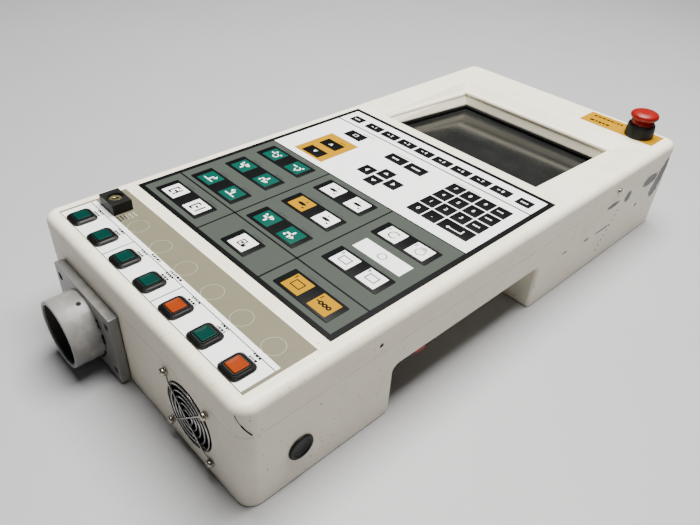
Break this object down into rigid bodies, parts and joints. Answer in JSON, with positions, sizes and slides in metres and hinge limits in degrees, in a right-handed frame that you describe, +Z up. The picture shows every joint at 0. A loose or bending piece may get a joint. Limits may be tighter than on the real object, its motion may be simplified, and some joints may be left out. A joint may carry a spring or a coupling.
{
  "type": "pendant control station",
  "caption": "Machine operator pendant lying on its back: screen recess, printed keypad, lit push buttons, key switch, emergency stop, cable flange and fan.",
  "frame": {"origin": "centre of the footprint, on the table", "axes": "+Z up out of the operator panel, +Y along the case from the cable end to the screen end, +X to the operator's right"},
  "size_m": [0.3418, 0.724, 0.1532],
  "materials": {
    "button_body": "satin",
    "button_cap_green": "translucent, glossy",
    "button_cap_orange": "translucent, glossy",
    "cable_flange": "light grey, satin",
    "cable_tube": "light grey, satin",
    "case_paint": "worn cream paint, satin",
    "case_paint_shade": "worn cream paint, satin",
    "case_seal": "matt",
    "circuit_board": "solder mask",
    "control_overlay": "fine texture, printed",
    "display_bracket": "satin",
    "display_module": "satin",
    "estop_collar": "satin",
    "estop_contact_block": "satin",
    "estop_label": "printed",
    "estop_red": "glossy",
    "fan_frame": "satin",
    "fan_guard": "polished, slightly worn",
    "fan_rotor": "satin",
    "fan_screw": "polished",
    "flange_gasket": "matt",
    "flange_screw": "blackened, oily",
    "grip_marker": "satin",
    "grip_strip": "matt",
    "key_barrel": "satin, worn",
    "key_switch_body": "satin",
    "membrane_keypad": "fine texture, printed",
    "power_supply": "sheet metal",
    "screen_gasket": "matt",
    "screen_window": "dark, glossy",
    "side_plug": "satin",
    "side_screw": "satin",
    "terminal_block": "satin"
  },
  "bodies": {
    "case": {"backlight_board": "circuit_board", "button_body_1": "button_body", "button_body_2": "button_body", "button_body_3": "button_body", "button_body_4": "button_body", "button_body_5": "button_body", "button_body_6": "button_body", "button_body_7": "button_body", "cable_flange": "cable_flange", "cable_tube": "cable_tube", "case_seal": "case_seal", "control_overlay": "control_overlay", "display_bracket": "display_bracket", "display_module": "display_module", "estop_collar": "estop_collar", "estop_contact_block": "estop_contact_block", "estop_label": "estop_label", "fan_frame": "fan_frame", "fan_guard": "fan_guard", "fan_screw_1": "fan_screw", "fan_screw_2": "fan_screw", "fan_screw_3": "fan_screw", "fan_screw_4": "fan_screw", "flange_gasket": "flange_gasket", "flange_screw_1": "flange_screw", "flange_screw_2": "flange_screw", "flange_screw_3": "flange_screw", "flange_screw_4": "flange_screw", "front_shell": "case_paint", "grip_marker": "grip_marker", "grip_strip": "grip_strip", "key_switch_body": "key_switch_body", "keypad_board": "circuit_board", "main_board": "circuit_board", "membrane_keypad": "membrane_keypad", "power_supply": "power_supply", "rear_shell": "case_paint_shade", "screen_gasket": "screen_gasket", "screen_window": "screen_window", "side_plug": "side_plug", "side_screw_1": "side_screw", "side_screw_2": "side_screw", "side_screw_3": "side_screw", "terminal_block": "terminal_block"},
    "button_1": {"button_cap_1": "button_cap_green"},
    "button_2": {"button_cap_2": "button_cap_green"},
    "button_3": {"button_cap_3": "button_cap_green"},
    "button_4": {"button_cap_4": "button_cap_green"},
    "button_5": {"button_cap_5": "button_cap_orange"},
    "button_6": {"button_cap_6": "button_cap_green"},
    "button_7": {"button_cap_7": "button_cap_orange"},
    "key": {"key_barrel": "key_barrel"},
    "estop_stem": {"estop_stem": "estop_red"},
    "estop_head": {"estop_head": "estop_red"},
    "fan_rotor": {"fan_rotor": "fan_rotor"}
  },
  "joints": [
    {"name": "button_1_press", "type": "slide", "parent": "case", "child": "button_1", "axis": [0, 0, 1], "range_m": [-0.003, 0], "stiffness_N_per_m": 350, "springref_m": 0.003},
    {"name": "button_2_press", "type": "slide", "parent": "case", "child": "button_2", "axis": [0, 0, 1], "range_m": [-0.003, 0], "stiffness_N_per_m": 350, "springref_m": 0.003},
    {"name": "button_3_press", "type": "slide", "parent": "case", "child": "button_3", "axis": [0, 0, 1], "range_m": [-0.003, 0], "stiffness_N_per_m": 350, "springref_m": 0.003},
    {"name": "button_4_press", "type": "slide", "parent": "case", "child": "button_4", "axis": [0, 0, 1], "range_m": [-0.003, 0], "stiffness_N_per_m": 350, "springref_m": 0.003},
    {"name": "button_5_press", "type": "slide", "parent": "case", "child": "button_5", "axis": [0, 0, 1], "range_m": [-0.003, 0], "stiffness_N_per_m": 350, "springref_m": 0.003},
    {"name": "button_6_press", "type": "slide", "parent": "case", "child": "button_6", "axis": [0, 0, 1], "range_m": [-0.003, 0], "stiffness_N_per_m": 350, "springref_m": 0.003},
    {"name": "button_7_press", "type": "slide", "parent": "case", "child": "button_7", "axis": [0, 0, 1], "range_m": [-0.003, 0], "stiffness_N_per_m": 350, "springref_m": 0.003},
    {"name": "key_turn", "type": "hinge", "parent": "case", "child": "key", "pos_m": [-0.127, -0.2631, 0.1299], "axis": [0, 0, 1], "range_deg": [-90, 0]},
    {"name": "estop_press", "type": "slide", "parent": "case", "child": "estop_stem", "axis": [0, 0, 1], "range_m": [-0.0045, 0]},
    {"name": "estop_twist", "type": "hinge", "parent": "estop_stem", "child": "estop_head", "pos_m": [0.1258, 0.3309, 0.145], "axis": [0, 0, 1], "range_deg": [-35, 0], "stiffness_Nm_per_rad": 0.4, "springref_deg": 5.73},
    {"name": "fan_spin", "type": "hinge", "parent": "case", "child": "fan_rotor", "pos_m": [0.09, -0.3187, 0.0486], "axis": [0, 1, 0], "continuous": true}
  ]
}
